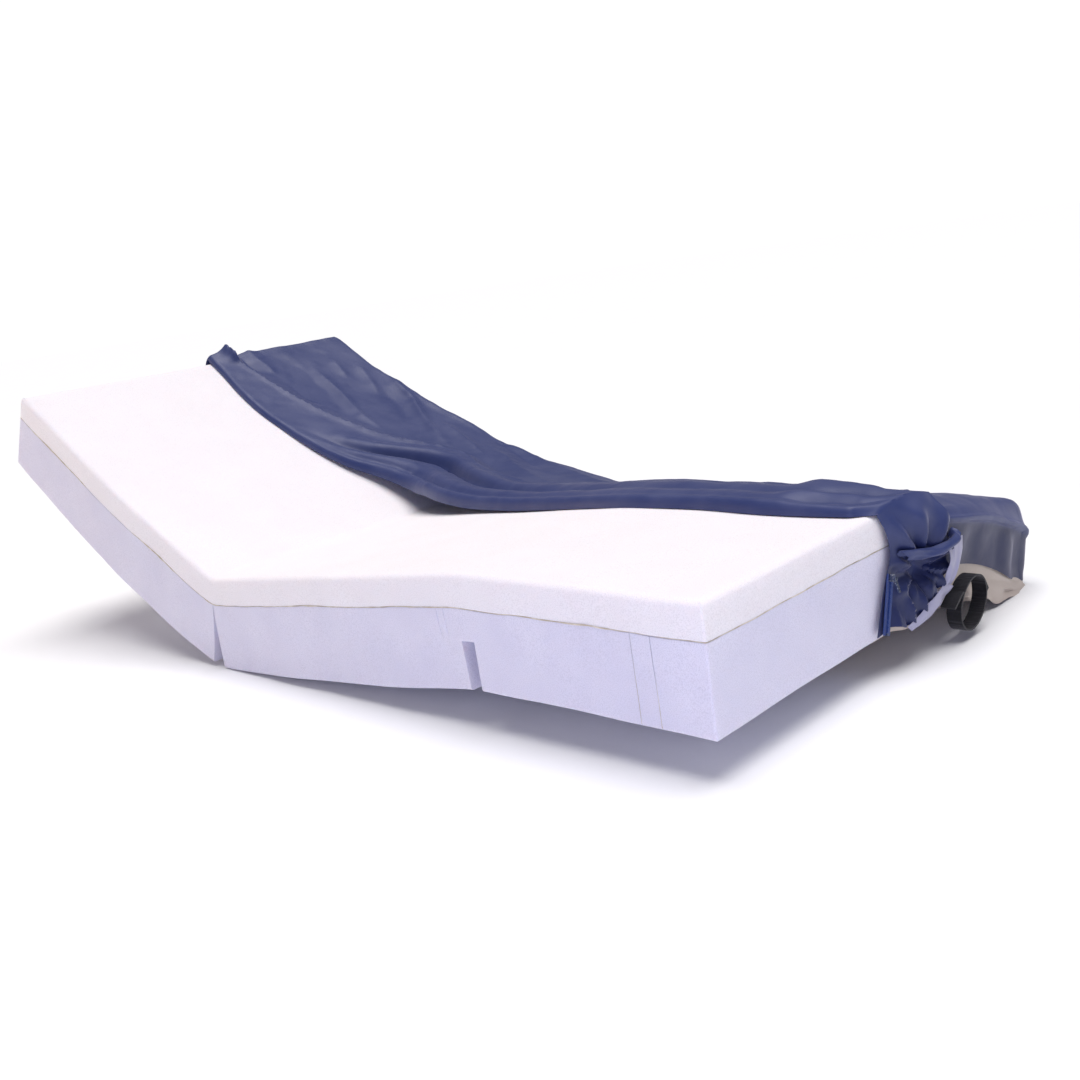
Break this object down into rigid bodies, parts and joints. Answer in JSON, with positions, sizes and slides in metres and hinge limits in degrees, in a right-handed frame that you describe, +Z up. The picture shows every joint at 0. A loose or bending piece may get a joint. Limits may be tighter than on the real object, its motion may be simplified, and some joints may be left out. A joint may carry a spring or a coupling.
{
  "type": "pressure relief mattress",
  "caption": "Two-layer foam hospital mattress bent for a raised backrest, its zipped cover drawn half off to one side and gathered at the foot, with a webbing handle.",
  "frame": {"origin": "centre of the bounding box's footprint, on the surface that the mattress rests on", "axes": "+X from the head end to the foot end, +Y towards the side that the cover is pushed to, +Z up"},
  "size_m": [1.9988, 0.8842, 0.5828],
  "materials": {
    "top_foam": "open-cell viscoelastic foam, off white",
    "base_foam": "open-cell polyurethane foam, pale lavender",
    "foam_glue": "dried adhesive film, yellowish",
    "cover_fabric": "polyurethane-coated stretch knit, navy, satin",
    "base_fabric": "coated base fabric, grey beige",
    "zip_tape": "woven tape, blue",
    "zip_teeth": "moulded coil, blue",
    "zip_metal": "painted die-cast metal, worn at the edges",
    "webbing": "woven polypropylene webbing, black"
  },
  "bodies": {
    "thigh": {"cover_thigh_base_panel": "base_fabric", "cover_thigh_edge_roll": "cover_fabric", "cover_thigh_side_wall": "cover_fabric", "cover_thigh_top_panel": "cover_fabric", "thigh_base_foam": "base_foam", "thigh_layer_glue": "foam_glue", "thigh_top_foam": "top_foam"},
    "back": {"back_base_foam": "base_foam", "back_layer_glue": "foam_glue", "back_top_foam": "top_foam", "cover_back_base_panel": "base_fabric", "cover_back_edge_roll": "cover_fabric", "cover_back_side_wall": "cover_fabric", "cover_back_top_panel": "cover_fabric", "cover_head_end_wall": "cover_fabric", "cover_head_fold": "cover_fabric"},
    "leg": {"cover_foot_base_flap": "base_fabric", "cover_foot_border": "cover_fabric", "cover_foot_gathered_wall": "cover_fabric", "cover_foot_overhang": "cover_fabric", "cover_foot_pinch_band": "cover_fabric", "cover_foot_welt": "cover_fabric", "cover_leg_base_panel": "base_fabric", "cover_leg_edge_roll": "cover_fabric", "cover_leg_side_wall": "cover_fabric", "cover_leg_top_panel": "cover_fabric", "end_block_glue_seam": "foam_glue", "foot_end_block": "base_foam", "foot_filler_strip": "base_foam", "handle_knotted_tail": "webbing", "handle_sewn_patch": "webbing", "handle_webbing_loop": "webbing", "leg_base_foam": "base_foam", "leg_layer_glue": "foam_glue", "leg_top_foam": "top_foam", "strip_glue_seam": "foam_glue", "zip_end_stop": "zip_teeth", "zip_far_tape": "zip_tape", "zip_far_teeth": "zip_teeth", "zip_near_tape": "zip_tape", "zip_near_teeth": "zip_teeth"},
    "zip_slider": {"zip_pull_pin": "zip_metal", "zip_slider_body": "zip_metal"},
    "zip_pull": {"zip_pull_tab": "zip_metal"}
  },
  "joints": [
    {"name": "hip_bend", "type": "hinge", "parent": "thigh", "child": "back", "pos_m": [-0.22282, -0.00215, 0.12729], "axis": [0, 1, 0], "range_deg": [-29.4, 35]},
    {"name": "knee_bend", "type": "hinge", "parent": "thigh", "child": "leg", "pos_m": [0.50824, -0.00215, 0.1424], "axis": [0, 1, 0], "range_deg": [-5.6, 13.5]},
    {"name": "zip_slide", "type": "slide", "parent": "leg", "child": "zip_slider", "axis": [-0.0099, -0.3363, -0.9417], "range_m": [0, 0.06]},
    {"name": "pull_swing", "type": "hinge", "parent": "zip_slider", "child": "zip_pull", "pos_m": [0.9726, -0.018, 0.1443], "axis": [-0.0035, 0.9417, -0.3363], "range_deg": [-100, 24]}
  ]
}
